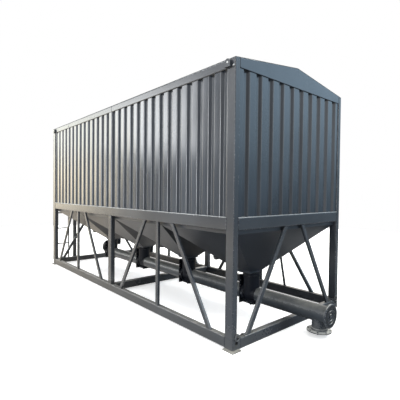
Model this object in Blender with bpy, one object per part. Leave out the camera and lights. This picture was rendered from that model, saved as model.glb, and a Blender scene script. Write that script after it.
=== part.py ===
# Horizontal cement silo: a box-shaped tank in a twenty-foot steel frame, four
# pyramid hoppers under it, and a screw conveyor that carries the cement out
# past the +X end. Metres, +Z up, ground at z = 0. It is drawn about the middle
# of the frame and moved at the end, so that the origin is the middle of the
# overall size. The long side seen in the photo faces -Y.
import bpy
import bmesh
import math
from mathutils import Matrix, Vector

# Sizes
GAP = 0.0003                 # running gap left between two pieces that meet
FRAME_LEN = 6.058            # twenty-foot container length
FRAME_WID = 2.420
PAD_T = 0.012                # foot plate under each corner block
PAD_X = 0.170
PAD_Y = 0.144
LUG_OUT = 0.034              # lifting lug proud of the long side
Z0 = PAD_T                   # underside of the frame
EAVE_Z = Z0 + 3.292
RIDGE_Z = EAVE_Z + 0.163
HL = FRAME_LEN / 2.0
HW = FRAME_WID / 2.0

POST_X = 0.118               # corner post, along the long side
POST_Y = 0.078               # corner post, along the end
BLOCK_X = 0.126              # corner block at the foot
BLOCK_Y = 0.140
SILL_BOT = Z0 + 0.005
SILL_TOP = Z0 + 0.130
END_SILL_BOT = 0.004
END_SILL_TOP = Z0 + 0.118
SILL_W = 0.078
WAIST_BOT = Z0 + 1.354
WAIST_TOP = Z0 + 1.502
TOP_BOT = Z0 + 3.187
MID_POST_X = 0.115
QUARTER_X = 0.062
QUARTER_Y = 0.040
BRACE_W = 0.058              # width of a brace seen from the side
BRACE_T = 0.036              # its depth
SHEET = 0.004                # wall and roof sheet
HOP_SHEET = 0.005

PITCH = 1.500                # valley spacing between hoppers along the frame
HOP_HALF_Y = 1.125
HOP_END = 2.975              # outer end of the first and last hopper
HOP_SKIRT_BOT = Z0 + 1.300
OUTLET_X = (-2.230, -0.745, 0.745, 2.230)        # hopper outlets, drive end first
NECK_X = (-2.280, -0.775, 0.775, 2.280)          # conveyor inlets under them
OUT_HALF = 0.130             # half the square hopper outlet
OUT_Z = Z0 + 0.612
OUT_COLLAR = 0.020           # short upright collar under the slopes

TUBE_R = 0.1095
TUBE_Z = Z0 + 0.265
TUBE_X1 = 3.545
FLANGE_R = 0.150
INLET_REACH = 0.134          # half the length of a conveyor inlet section
NECK_R = 0.122               # round neck between tube and hopper
NECK_FLANGE_R = 0.130
NECK_FLANGE_BOT = Z0 + 0.545
TUBE_X0 = NECK_X[0] - INLET_REACH              # tail face, where the drive bolts on
SPOUT_X = 3.400
SPOUT_BOT = Z0 + 0.045
SPOUT_R = 0.092
END_PLATE_T = 0.018          # bearing plate beyond the end of the tube
LADDER_OUT = 0.075           # ladder's outer face beyond the end of the frame
PIPE_R = 0.0445              # filling pipe, three inch
PIPE_Y = -0.665
COUPLING_R = 0.0555
PIPE_OUT = 2.0 * COUPLING_R  # coupling's outer face beyond the end of the frame
# The part's origin is the middle of its overall length, on the ground.
SHIFT_X = (HL + PIPE_OUT - TUBE_X1 - END_PLATE_T) / 2.0

MATERIALS = {
    "frame_paint": ((0.115, 0.125, 0.135), 0.38, 0.0),
    "wall_paint": ((0.090, 0.108, 0.125), 0.30, 0.0),
    "hopper_paint": ((0.060, 0.070, 0.080), 0.42, 0.0),
    "conveyor_paint": ((0.100, 0.112, 0.122), 0.34, 0.0),
    "drive_paint": ((0.035, 0.038, 0.042), 0.45, 0.0),
    "ladder_steel": ((0.170, 0.175, 0.175), 0.45, 0.0),
}


def clear_scene():
    for ob in list(bpy.data.objects):
        bpy.data.objects.remove(ob, do_unlink=True)


def material(name, owner):
    rgb, rough, metal = MATERIALS[name]
    mat = bpy.data.materials.new(owner + "." + name)
    mat.use_nodes = True
    node = mat.node_tree.nodes["Principled BSDF"]
    node.inputs["Base Color"].default_value = (rgb[0], rgb[1], rgb[2], 1.0)
    node.inputs["Roughness"].default_value = rough
    node.inputs["Metallic"].default_value = metal
    mat.diffuse_color = (rgb[0], rgb[1], rgb[2], 1.0)
    return mat


def finish(name, bm, paint, smooth=False):
    """Turn a bmesh into a named object with its own material."""
    bmesh.ops.recalc_face_normals(bm, faces=bm.faces)
    mesh = bpy.data.meshes.new(name)
    bm.to_mesh(mesh)
    bm.free()
    ob = bpy.data.objects.new(name, mesh)
    bpy.context.scene.collection.objects.link(ob)
    ob.data.materials.append(material(paint, name))
    if smooth:
        ob.data.shade_smooth()
        ob.data.set_sharp_from_angle(angle=math.radians(32.0))
    return ob


def add_box(bm, x0, x1, y0, y1, z0, z1):
    """A box between two corners, added to a bmesh."""
    out = bmesh.ops.create_cube(bm, size=1.0)
    size = Vector((x1 - x0, y1 - y0, z1 - z0))
    mid = Vector(((x0 + x1) / 2.0, (y0 + y1) / 2.0, (z0 + z1) / 2.0))
    bmesh.ops.scale(bm, vec=size, verts=out["verts"])
    bmesh.ops.translate(bm, vec=mid, verts=out["verts"])
    return out["verts"]


def box(name, x0, x1, y0, y1, z0, z1, paint):
    bm = bmesh.new()
    add_box(bm, min(x0, x1), max(x0, x1), min(y0, y1), max(y0, y1), z0, z1)
    return finish(name, bm, paint)


def add_prism(bm, outline, push):
    """Extrude a flat outline (3-D points) along a vector."""
    verts = [bm.verts.new(p) for p in outline]
    face = bm.faces.new(verts)
    grown = bmesh.ops.extrude_face_region(bm, geom=[face])
    moved = [g for g in grown["geom"] if isinstance(g, bmesh.types.BMVert)]
    bmesh.ops.translate(bm, vec=Vector(push), verts=moved)
    return verts + moved


def prism(name, outline, push, paint):
    bm = bmesh.new()
    add_prism(bm, outline, push)
    return finish(name, bm, paint)


def add_cylinder(bm, axis, centre, radius, lo, hi, segments=48):
    """A closed cylinder from lo to hi along an axis."""
    out = bmesh.ops.create_cone(bm, cap_ends=True, segments=segments,
                                radius1=radius, radius2=radius, depth=hi - lo)
    mid = (lo + hi) / 2.0
    if axis == "x":
        turn = Matrix.Rotation(math.radians(90.0), 4, "Y")
        shift = Matrix.Translation((mid, centre[0], centre[1]))
    elif axis == "y":
        turn = Matrix.Rotation(math.radians(90.0), 4, "X")
        shift = Matrix.Translation((centre[0], mid, centre[1]))
    else:
        turn = Matrix.Identity(4)
        shift = Matrix.Translation((centre[0], centre[1], mid))
    bmesh.ops.transform(bm, matrix=shift @ turn, verts=out["verts"])
    return out["verts"]


def temp_object(build):
    bm = bmesh.new()
    build(bm)
    bmesh.ops.recalc_face_normals(bm, faces=bm.faces)
    mesh = bpy.data.meshes.new("temp")
    bm.to_mesh(mesh)
    bm.free()
    ob = bpy.data.objects.new("temp", mesh)
    bpy.context.scene.collection.objects.link(ob)
    return ob


def fused(name, adds, cuts, paint, smooth=False, last=()):
    """Join solids into one welded body, cut others out, then join the last ones."""
    base = temp_object(adds[0])
    tools = []
    jobs = [(b, "UNION") for b in adds[1:]] + [(b, "DIFFERENCE") for b in cuts]
    jobs += [(b, "UNION") for b in last]
    for build, kind in jobs:
        tool = temp_object(build)
        tools.append(tool)
        mod = base.modifiers.new("join", "BOOLEAN")
        mod.operation = kind
        mod.solver = "EXACT"
        mod.object = tool
    bpy.context.view_layer.update()
    graph = bpy.context.evaluated_depsgraph_get()
    bm = bmesh.new()
    bm.from_mesh(base.evaluated_get(graph).to_mesh())
    bmesh.ops.remove_doubles(bm, verts=bm.verts, dist=0.00001)
    bmesh.ops.dissolve_degenerate(bm, edges=bm.edges, dist=0.00001)
    for ob in [base] + tools:
        bpy.data.objects.remove(ob, do_unlink=True)
    return finish(name, bm, paint, smooth)


def roof_z(y):
    """Height of the underside of the roof sheet at y."""
    return RIDGE_Z - SHEET * 1.02 - (RIDGE_Z - EAVE_Z) * abs(y) / HW


# Frame
def corner_post(name, sx, sy):
    """Post with its foot block, foot plate and lifting lug, all welded."""
    xo = sx * HL
    yo = sy * HW
    top_out = roof_z(HW) - GAP
    top_in = roof_z(HW - POST_Y) - GAP

    def shaft(bm):
        verts = add_box(bm, min(xo, xo - sx * POST_X), max(xo, xo - sx * POST_X),
                        min(yo, yo - sy * POST_Y), max(yo, yo - sy * POST_Y), Z0 + 0.05, 3.2)
        for v in verts:
            if v.co.z > 3.0:
                v.co.z = top_out if abs(v.co.y) > HW - 0.01 else top_in

    def block(bm):
        add_box(bm, min(xo, xo - sx * BLOCK_X), max(xo, xo - sx * BLOCK_X),
                min(yo, yo - sy * BLOCK_Y), max(yo, yo - sy * BLOCK_Y), Z0 - 0.004, SILL_TOP)

    def pad(bm):
        xa = xo + sx * (0.042 if sy < 0 else 0.004)
        ya = yo + sy * (LUG_OUT if sy < 0 else 0.004)
        wide, deep = (PAD_X, PAD_Y) if sy < 0 else (BLOCK_X, BLOCK_Y)
        add_box(bm, min(xa, xa - sx * wide), max(xa, xa - sx * wide),
                min(ya, ya - sy * deep), max(ya, ya - sy * deep), 0.0, PAD_T)

    def lug(bm):
        yb = yo + sy * LUG_OUT
        xm = xo - sx * 0.100
        outline = []
        for k in range(9):
            a = math.pi * k / 8.0
            outline.append((xm + 0.044 * math.cos(a), yb, EAVE_Z - 0.052 + 0.044 * math.sin(a)))
        outline.append((xm - 0.044, yb, EAVE_Z - 0.100))
        outline.append((xm + 0.044, yb, EAVE_Z - 0.100))
        add_prism(bm, outline, (0.0, -sy * (LUG_OUT - GAP), 0.0))

    def root(bm):
        xa = xo - sx * 0.060
        xb = xo - sx * 0.112
        add_box(bm, min(xa, xb), max(xa, xb), min(yo - sy * 0.01, yo + sy * 0.02),
                max(yo - sy * 0.01, yo + sy * 0.02), EAVE_Z - 0.098, EAVE_Z - 0.080)

    def eye(bm):
        ya = yo + sy * 0.050
        add_cylinder(bm, "y", (xo - sx * 0.100, EAVE_Z - 0.048), 0.018,
                     min(ya, yo + sy * 0.0004), max(ya, yo + sy * 0.0004), 16)

    def hole_end(bm):
        lo = min(xo + sx * 0.01, xo - sx * 0.030)
        add_cylinder(bm, "x", (yo - sy * 0.070, Z0 + 0.070), 0.024, lo, lo + 0.04, 16)

    return fused(name, [shaft, block, pad, root, lug], [eye, hole_end], "frame_paint")


def build_frame():
    corners = (("corner_post_front_discharge", 1, -1), ("corner_post_front_drive", -1, -1),
               ("corner_post_back_discharge", 1, 1), ("corner_post_back_drive", -1, 1))
    for name, sx, sy in corners:
        corner_post(name, sx, sy)
    for side, sy in (("front", -1), ("back", 1)):
        yo = sy * HW
        inner = HL - BLOCK_X - GAP
        low = SILL_BOT if side == "front" else END_SILL_BOT
        box(side + "_sill", -inner, inner, yo, yo - sy * SILL_W, low, SILL_TOP, "frame_paint")
        run = HL - POST_X - GAP
        box(side + "_waist_rail", -run, run, yo, yo - sy * POST_Y, WAIST_BOT, WAIST_TOP, "frame_paint")
        bm = bmesh.new()
        verts = add_box(bm, -run, run, min(yo, yo - sy * POST_Y), max(yo, yo - sy * POST_Y),
                        TOP_BOT, EAVE_Z)
        for v in verts:
            if v.co.z > TOP_BOT + 0.01:
                v.co.z = roof_z(v.co.y) - GAP
        finish(side + "_top_rail", bm, "frame_paint")
        box(side + "_mid_post", -MID_POST_X / 2, MID_POST_X / 2, yo, yo - sy * POST_Y,
            SILL_TOP + GAP, WAIST_BOT - GAP, "frame_paint")
        for tag, sx in (("drive", -1), ("discharge", 1)):
            xm = sx * PITCH
            box(side + "_quarter_post_" + tag, xm - QUARTER_X / 2, xm + QUARTER_X / 2,
                yo - sy * 0.004, yo - sy * (0.004 + QUARTER_Y), SILL_TOP + GAP, WAIST_BOT - GAP,
                "frame_paint")
            for part, d in (("outer", sx), ("inner", -sx)):
                head = xm + d * (0.262 if side == "back" and part == "outer" else 0.352)
                foot = xm + d * (1.085 if side == "back" and part == "outer" else 1.118)
                brace(side + "_brace_" + tag + "_" + part, "x", yo - sy * 0.006, -sy, head, foot)
    for end, sx in (("drive", -1), ("discharge", 1)):
        xo = sx * HL
        half = HW - BLOCK_Y - GAP
        low = END_SILL_BOT if end == "discharge" else SILL_BOT
        box(end + "_end_sill", xo, xo - sx * SILL_W, -half, half, low, END_SILL_TOP,
            "frame_paint")
        half = HW - POST_Y - GAP
        box(end + "_end_waist_rail", xo, xo - sx * POST_Y, -half, half, WAIST_BOT, WAIST_TOP,
            "frame_paint")
        for side, sy in (("front", -1), ("back", 1)):
            head, foot = (0.205, 0.965) if end == "drive" else (0.192, 0.925)
            brace(end + "_end_brace_" + side, "y", xo - sx * 0.006, -sx, sy * head, sy * foot)
        outline = [(xo, -half, TOP_BOT), (xo, half, TOP_BOT), (xo, half, roof_z(half) - GAP),
                   (xo, 0.0, roof_z(0.0) - GAP), (xo, -half, roof_z(half) - GAP)]
        prism(end + "_gable_plate", outline, (-sx * 0.060, 0.0, 0.0), "wall_paint")
    # A thin upright flat bar stands behind the back braces near the discharge end.
    z0 = SILL_TOP + GAP
    z1 = WAIST_BOT - GAP
    outline = [(2.054, HW - 0.050, z0), (2.100, HW - 0.050, z0),
               (1.870, HW - 0.050, z1), (1.824, HW - 0.050, z1)]
    prism("back_tie_bar", outline, (0.0, -0.010, 0.0), "frame_paint")
    half = HW - SILL_W - GAP
    box("mid_cross_sill", -0.055, 0.055, -half, half, SILL_BOT, SILL_TOP, "frame_paint")


def brace(name, axis, face, inward, head, foot):
    """A slanted flat bar from the sill up to the waist rail."""
    z0 = (SILL_TOP if axis == "x" else END_SILL_TOP) + GAP
    z1 = WAIST_BOT - GAP
    length = math.hypot(head - foot, z1 - z0)
    half = BRACE_W / 2.0 * length / (z1 - z0)
    pts = [(foot - half, z0), (foot + half, z0), (head + half, z1), (head - half, z1)]
    if axis == "x":
        outline = [(p, face, z) for p, z in pts]
        push = (0.0, inward * BRACE_T, 0.0)
    else:
        outline = [(face, p, z) for p, z in pts]
        push = (inward * BRACE_T, 0.0, 0.0)
    return prism(name, outline, push, "frame_paint")


# Tank and hoppers
def corrugated(name, lo, hi, first, pitch, count, axis, face, inward, pilaster=0.0):
    """A wall sheet pressed into upright ribs; face is the outer plane."""
    depth = 0.034
    half_in = 0.022
    slope = 0.030
    line = [(lo, 0.0)]
    for k in range(count):
        c = first + pitch * k
        if pilaster and k == count // 2:
            line.append((-pilaster - 0.012, 0.0))
            line.append((-pilaster, -0.012))
            line.append((pilaster, -0.012))
            line.append((pilaster + 0.012, 0.0))
        if pilaster and k >= count // 2:
            c = first_right(first, pitch, count, k)
        line.append((c - half_in - slope, 0.0))
        line.append((c - half_in, depth))
        line.append((c + half_in, depth))
        line.append((c + half_in + slope, 0.0))
    line.append((hi, 0.0))
    z0 = WAIST_TOP + GAP
    z1 = TOP_BOT - GAP
    bm = bmesh.new()
    verts = []
    for along, deep in line:
        d = face + inward * deep
        p = (along, d, z0) if axis == "x" else (d, along, z0)
        verts.append(bm.verts.new(p))
    edges = [bm.edges.new((a, b)) for a, b in zip(verts, verts[1:])]
    grown = bmesh.ops.extrude_edge_only(bm, edges=edges)
    moved = [g for g in grown["geom"] if isinstance(g, bmesh.types.BMVert)]
    bmesh.ops.translate(bm, vec=Vector((0.0, 0.0, z1 - z0)), verts=moved)
    ob = finish(name, bm, "wall_paint")
    mod = ob.modifiers.new("sheet", "SOLIDIFY")
    mod.thickness = SHEET
    mod.offset = 0.0
    mod.use_even_offset = True
    return ob


def first_right(first, pitch, count, k):
    """Rib centre on the right half: the left half mirrored."""
    return -(first + pitch * (count - 1 - k))


def build_tank():
    run = HL - POST_X - GAP
    for side, sy in (("front", -1), ("back", 1)):
        corrugated(side + "_wall", -run, run, -2.835, 0.2093, 28, "x",
                   sy * (HW - 0.016), -sy, pilaster=0.050)
    half = HW - POST_Y - GAP
    for end, sx in (("drive", -1), ("discharge", 1)):
        corrugated(end + "_end_wall", -half, half, -1.006, 0.2236, 10, "y",
                   sx * (HL - 0.014), -sx)
    bm = bmesh.new()
    rows = ((-HW, EAVE_Z), (0.0, RIDGE_Z), (HW, EAVE_Z))
    outline = [(-HL, y, z) for y, z in rows]
    outline += [(-HL, y, z - SHEET) for y, z in reversed(rows)]
    add_prism(bm, outline, (FRAME_LEN, 0.0, 0.0))
    finish("roof", bm, "wall_paint")


def hopper(name, xc, left, right):
    """Open pyramid shell: a short skirt, four slopes and an upright collar."""
    t = HOP_SHEET
    skirt = WAIST_BOT - GAP
    out = OUT_HALF
    low = OUT_Z - OUT_COLLAR
    outer = [(left, right, HOP_HALF_Y, skirt), (left, right, HOP_HALF_Y, HOP_SKIRT_BOT),
             (xc - out, xc + out, out, OUT_Z), (xc - out, xc + out, out, low)]
    out = OUT_HALF - t
    inner = [(xc - out, xc + out, out, low), (xc - out, xc + out, out, OUT_Z + 0.004),
             (left + t, right - t, HOP_HALF_Y - t, HOP_SKIRT_BOT + 0.004),
             (left + t, right - t, HOP_HALF_Y - t, skirt)]
    bm = bmesh.new()
    loops = []
    for xa, xb, b, z in outer + inner:
        corners = ((xa, -b), (xb, -b), (xb, b), (xa, b))
        loops.append([bm.verts.new((px, py, z)) for px, py in corners])
    for one, two in zip(loops, loops[1:] + loops[:1]):
        for k in range(4):
            j = (k + 1) % 4
            bm.faces.new((one[k], one[j], two[j], two[k]))
    return finish(name, bm, "hopper_paint")


def inlet_section(name, xc, outlet, lever):
    """Length of conveyor under a hopper: tube, round neck, saddle hatch, bracket."""
    top = OUT_Z - OUT_COLLAR - GAP
    lo = xc - INLET_REACH
    hi = xc + INLET_REACH

    def tube(bm):
        add_cylinder(bm, "x", (0.0, TUBE_Z), TUBE_R, lo, hi)

    def neck(bm):
        add_cylinder(bm, "z", (xc, 0.0), NECK_R, TUBE_Z, top - 0.004)

    def neck_flange(bm):
        add_cylinder(bm, "z", (xc, 0.0), NECK_FLANGE_R, NECK_FLANGE_BOT, NECK_FLANGE_BOT + 0.016)

    def top_plate(bm):
        add_box(bm, outlet - OUT_HALF, outlet + OUT_HALF, -OUT_HALF, OUT_HALF, top - 0.010, top)

    def band(bm):
        add_cylinder(bm, "x", (0.0, TUBE_Z), TUBE_R + 0.017, lo + 0.008, lo + 0.074)

    def bracket(bm):
        add_box(bm, lo, lo + 0.012, -0.134, 0.134, TUBE_Z - 0.152, Z0 + 0.545)

    def tie(bm):
        add_box(bm, lo + 0.004, xc, -0.030, 0.030, Z0 + 0.470, Z0 + 0.530)

    def saddle(bm):
        add_box(bm, lo + 0.003, xc + 0.095, -0.066, 0.066, TUBE_Z - 0.148, TUBE_Z - 0.080)

    def hinge(bm):
        add_cylinder(bm, "y", (xc + 0.020, TUBE_Z - 0.152), 0.016, -0.050, 0.050, 16)

    def actuator(bm):
        add_box(bm, xc - 0.040, xc + 0.040, 0.100, 0.205, Z0 + 0.440, Z0 + 0.570)

    pieces = [tube, neck, neck_flange, top_plate, band, bracket, tie, saddle, hinge]
    if lever:
        pieces.append(actuator)
    return fused(name, pieces, [], "conveyor_paint", True)


def build_conveyor():
    for k, xc in enumerate(NECK_X):
        inlet_section("conveyor_inlet_" + str(k + 1), xc, OUTLET_X[k], k < 2)
        start = xc + INLET_REACH + GAP
        end = TUBE_X1 if k == 3 else NECK_X[k + 1] - INLET_REACH - GAP

        def tube(bm, start=start, end=end):
            add_cylinder(bm, "x", (0.0, TUBE_Z), TUBE_R, start, end)

        def flange(bm, end=end):
            add_cylinder(bm, "x", (0.0, TUBE_Z), FLANGE_R, end - 0.014, end)

        pieces = [tube, flange] if k == 3 else [tube]
        fused("conveyor_tube_" + str(k + 1), pieces, [], "conveyor_paint", True)

    def plate(bm):
        add_cylinder(bm, "x", (0.0, TUBE_Z), FLANGE_R, TUBE_X1 + GAP, TUBE_X1 + END_PLATE_T)

    def recess(bm):
        add_cylinder(bm, "x", (0.0, TUBE_Z), 0.092, TUBE_X1 + 0.007, TUBE_X1 + 0.05)

    def hub(bm):
        add_cylinder(bm, "x", (0.0, TUBE_Z), 0.046, TUBE_X1 + 0.004, TUBE_X1 + 0.015, 32)

    fused("conveyor_end_bearing", [plate], [recess], "conveyor_paint", True, [hub])

    def neck(bm):
        add_cylinder(bm, "z", (SPOUT_X, 0.0), SPOUT_R, SPOUT_BOT, TUBE_Z)

    def rim(bm):
        add_cylinder(bm, "z", (SPOUT_X, 0.0), 0.155, SPOUT_BOT, SPOUT_BOT + 0.014)

    def collar(bm):
        add_cylinder(bm, "z", (SPOUT_X, 0.0), SPOUT_R + 0.012, SPOUT_BOT + 0.010, SPOUT_BOT + 0.042)

    def bore(bm):
        add_cylinder(bm, "z", (SPOUT_X, 0.0), SPOUT_R - 0.006, SPOUT_BOT - 0.05, TUBE_Z + 0.01)

    def tube(bm):
        add_cylinder(bm, "x", (0.0, TUBE_Z), TUBE_R + GAP, SPOUT_X - 0.3, SPOUT_X + 0.3)

    fused("discharge_spout", [neck, rim, collar], [bore, tube], "conveyor_paint", True)

    def gear(bm):
        add_cylinder(bm, "x", (0.0, TUBE_Z), 0.128, TUBE_X0 - 0.085, TUBE_X0 - GAP)

    def case(bm):
        add_box(bm, TUBE_X0 - 0.085, TUBE_X0 - 0.016, -0.110, 0.110, TUBE_Z, TUBE_Z + 0.150)

    def motor(bm):
        add_cylinder(bm, "x", (0.0, TUBE_Z + 0.108), 0.158, TUBE_X0 - 0.130, TUBE_X0 - 0.020)

    fused("drive_unit", [gear, case, motor], [], "drive_paint", True)


def tube_path(bm, points, radius, segments=32):
    """A closed round bar along points that lie in a plane of constant y."""
    rings = []
    for k, p in enumerate(points):
        before = points[max(k - 1, 0)]
        after = points[min(k + 1, len(points) - 1)]
        along = (Vector(after) - Vector(before)).normalized()
        across = Vector((0.0, 1.0, 0.0)).cross(along)
        ring = []
        for n in range(segments):
            a = 2.0 * math.pi * n / segments
            ring.append(bm.verts.new(Vector(p) + radius * (math.cos(a) * Vector((0.0, 1.0, 0.0))
                                                           + math.sin(a) * across)))
        rings.append(ring)
    for one, two in zip(rings, rings[1:]):
        for n in range(segments):
            m = (n + 1) % segments
            bm.faces.new((one[n], one[m], two[m], two[n]))
    bm.faces.new(rings[0])
    bm.faces.new(rings[-1])


def build_fill_pipe():
    """Filling pipe up the drive end: coupling at the foot, bend into the gable."""
    xp = -HL - COUPLING_R
    foot = Z0 + 0.055
    bend = COUPLING_R - 0.006
    inlet_z = 3.270
    points = [(xp, PIPE_Y, foot), (xp, PIPE_Y, inlet_z - bend)]
    for k in range(1, 9):
        a = math.pi / 2.0 * k / 8.0
        points.append((xp + bend * (1.0 - math.cos(a)), PIPE_Y, inlet_z - bend + bend * math.sin(a)))
    points.append((-HL - GAP, PIPE_Y, inlet_z))

    def pipe(bm):
        tube_path(bm, points, PIPE_R)

    def coupling(bm):
        add_cylinder(bm, "z", (xp, PIPE_Y), COUPLING_R - GAP, foot + 0.012, foot + 0.060, 32)

    def wall_flange(bm):
        add_cylinder(bm, "x", (PIPE_Y, inlet_z), 0.062, -HL - 0.007, -HL - GAP, 32)

    def clamp(bm):
        add_cylinder(bm, "z", (xp, PIPE_Y), PIPE_R + 0.006, WAIST_BOT + 0.050, WAIST_BOT + 0.090, 32)

    def clamp_arm(bm):
        add_box(bm, xp, -HL - GAP, PIPE_Y - 0.030, PIPE_Y + 0.030, WAIST_BOT + 0.055,
                WAIST_BOT + 0.085)

    fused("fill_pipe", [pipe, coupling, wall_flange, clamp, clamp_arm], [], "frame_paint", True)


def build_ladder():
    """Ladder on the drive end, outside the frame near the front corner."""
    x0 = -HL - LADDER_OUT + 0.020
    y_lo = -HW + 0.015
    y_hi = -0.808
    bot = Z0 + 0.090
    top = Z0 + 3.150

    def stile_a(bm):
        add_box(bm, x0 - 0.020, x0 + 0.020, y_lo, y_lo + 0.025, bot, top)

    def stile_b(bm):
        add_box(bm, x0 - 0.020, x0 + 0.020, y_hi - 0.025, y_hi, bot, top)

    pieces = [stile_a, stile_b]
    z = Z0 + 0.470
    while z < top - 0.05:
        def rung(bm, z=z):
            add_cylinder(bm, "y", (x0, z), 0.015, y_lo + 0.01, y_hi - 0.01, 12)
        pieces.append(rung)
        z += 0.385
    for z in (WAIST_BOT + 0.075, EAVE_Z - 0.19):
        for y in (y_lo, y_hi - 0.025):
            def arm(bm, y=y, z=z):
                add_box(bm, x0, -HL - GAP, y, y + 0.025, z - 0.02, z + 0.02)
            pieces.append(arm)
    fused("ladder", pieces, [], "ladder_steel")


clear_scene()
build_frame()
build_tank()
valleys = (-HOP_END, -PITCH - GAP, -PITCH + GAP, -GAP, GAP, PITCH - GAP, PITCH + GAP, HOP_END)
for n in range(4):
    hopper("hopper_" + str(n + 1), OUTLET_X[n], valleys[2 * n], valleys[2 * n + 1])
build_conveyor()
build_ladder()
build_fill_pipe()
for ob in bpy.data.objects:
    ob.location.x = SHIFT_X
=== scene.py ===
# %% [markdown]
# # A horizontal cement silo, finished in Blender
# The silo is a ribbed steel tank in a frame the size of a twenty-foot container.
# Four pyramid hoppers hang under it and feed a screw conveyor that runs out past
# one end. The engineering model gives every piece its place. This lesson rounds
# the edges, adds the welds and bolts, and paints the steel.

# %% Load the engineering model
import bpy
import bmesh
import math
from mathutils import Matrix, Vector


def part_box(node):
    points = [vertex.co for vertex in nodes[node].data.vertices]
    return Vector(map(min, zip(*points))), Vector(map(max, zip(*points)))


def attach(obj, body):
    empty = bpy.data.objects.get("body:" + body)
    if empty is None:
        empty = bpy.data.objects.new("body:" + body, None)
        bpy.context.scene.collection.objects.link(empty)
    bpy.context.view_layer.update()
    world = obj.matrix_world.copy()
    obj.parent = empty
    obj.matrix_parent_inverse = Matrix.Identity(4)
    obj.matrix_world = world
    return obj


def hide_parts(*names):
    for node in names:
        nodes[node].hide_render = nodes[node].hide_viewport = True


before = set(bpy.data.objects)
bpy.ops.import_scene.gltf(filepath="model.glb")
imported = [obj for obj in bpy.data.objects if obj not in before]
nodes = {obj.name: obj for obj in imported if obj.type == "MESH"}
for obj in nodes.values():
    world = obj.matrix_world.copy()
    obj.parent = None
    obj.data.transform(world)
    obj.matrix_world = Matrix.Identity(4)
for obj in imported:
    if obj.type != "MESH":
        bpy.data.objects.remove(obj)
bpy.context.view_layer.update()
roof_low, roof_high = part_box("roof")
MIDDLE = (roof_low.x + roof_high.x) / 2.0  # of the frame; the conveyor juts out of one end
GROUND = 0.012  # thickness of the foot plates under the frame

# %% [markdown]
# ## The camera
# The camera was worked out from the straight edges of the frame in the photo. It
# stands near the discharge end at eye height, looks along the long side, and is
# turned by half a degree, as a hand-held camera is. It comes first, so that each
# later piece can be judged from the right place.

# %% Camera
HEADING, TIP, LEAN = (math.radians(a) for a in (48.91, -1.27, 0.59))
FOCAL_PIXELS, PHOTO_PIXELS = 338.5, 400.0  # focal length and width, in the photo's pixels
SENSOR = 36.0  # width of the film, in millimetres
EYE = Vector((5.615 + MIDDLE, -3.967, 1.784 + GROUND))

ahead = Vector((-math.sin(HEADING) * math.cos(TIP), math.cos(HEADING) * math.cos(TIP),
                math.sin(TIP)))
level = ahead.cross(Vector((0.0, 0.0, 1.0))).normalized()
upright = level.cross(ahead)
right = math.cos(LEAN) * level + math.sin(LEAN) * upright
top = math.cos(LEAN) * upright - math.sin(LEAN) * level
lens = bpy.data.cameras.new("photo_camera")
lens.sensor_width = SENSOR
lens.lens = FOCAL_PIXELS * SENSOR / PHOTO_PIXELS
camera = bpy.data.objects.new("photo_camera", lens)
bpy.context.scene.collection.objects.link(camera)
camera.matrix_world = Matrix((
    (right.x, top.x, -ahead.x, EYE.x),
    (right.y, top.y, -ahead.y, EYE.y),
    (right.z, top.z, -ahead.z, EYE.z),
    (0.0, 0.0, 0.0, 1.0)))
bpy.context.scene.camera = camera
print("camera at", [round(v, 3) for v in EYE], "lens", round(lens.lens, 2))

# %% [markdown]
# ## Writing a finish as arithmetic
# A finish is a net of nodes. Placing them by hand hides the idea, so a small class
# stands for one output of a node, and adding or multiplying two of them adds the
# matching Math node. The desk below holds the net of one finish and makes every
# other kind of node through one method.

# %% One output that can be calculated with
class Wire:
    """One output of a node; sums and products of wires add the Math nodes they need."""

    def __init__(self, desk, socket):
        self.desk = desk
        self.socket = socket

    def __add__(self, other):
        return self.desk.math("ADD", self, other)

    def __sub__(self, other):
        return self.desk.math("SUBTRACT", self, other)

    def __mul__(self, other):
        return self.desk.math("MULTIPLY", self, other)

    def __truediv__(self, other):
        return self.desk.math("DIVIDE", self, other)

    def __radd__(self, other):
        return self.desk.math("ADD", other, self)

    def __rsub__(self, other):
        return self.desk.math("SUBTRACT", other, self)

    def __rmul__(self, other):
        return self.desk.math("MULTIPLY", other, self)


# %% The desk on which one finish is drawn
class Desk:
    """The net of nodes of one finish."""

    def __init__(self, tree):
        self.tree = tree

    def node(self, kind, settings=None, values=None, out=0):
        """Add a node, set its settings, then feed its sockets with values or wires."""
        made = self.tree.nodes.new(kind)
        for key, value in (settings or {}).items():
            setattr(made, key, value)
        for key, value in (values or {}).items():
            self.feed(made.inputs[key], value)
        return Wire(self, made.outputs[out])

    def feed(self, socket, value):
        if isinstance(value, Wire):
            self.tree.links.new(value.socket, socket)
        else:
            socket.default_value = value

    def math(self, operation, first, second=0.0, clamp=False):
        return self.node("ShaderNodeMath", {"operation": operation, "use_clamp": clamp},
                         {0: first, 1: second})

    def ramp(self, value, low, high, to_low=0.0, to_high=1.0):
        """A soft step, from to_low where value is low to to_high where it is high."""
        return self.node("ShaderNodeMapRange", {"interpolation_type": "SMOOTHSTEP"},
                         {0: value, 1: low, 2: high, 3: to_low, 4: to_high})

    def blend(self, share, first, second):
        return self.node("ShaderNodeMix", {"data_type": "RGBA"},
                         {0: share, 6: first, 7: second}, out=2)

    def place(self, scale=(1.0, 1.0, 1.0)):
        """Object coordinates, so that a pattern stays with the steel."""
        spot = self.node("ShaderNodeTexCoord", out=3)
        return self.node("ShaderNodeMapping", None, {0: spot, 3: scale})

    def axis(self, which):
        """How far along x, y or z (0, 1 or 2) a point lies."""
        return self.node("ShaderNodeSeparateXYZ", None, {0: self.place()}, out=which)

    def noise(self, size, detail=3.0, rough=0.5, stretch=(1.0, 1.0, 1.0)):
        return self.node("ShaderNodeTexNoise", None,
                         {"Vector": self.place(stretch), "Scale": size, "Detail": detail,
                          "Roughness": rough})


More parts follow.
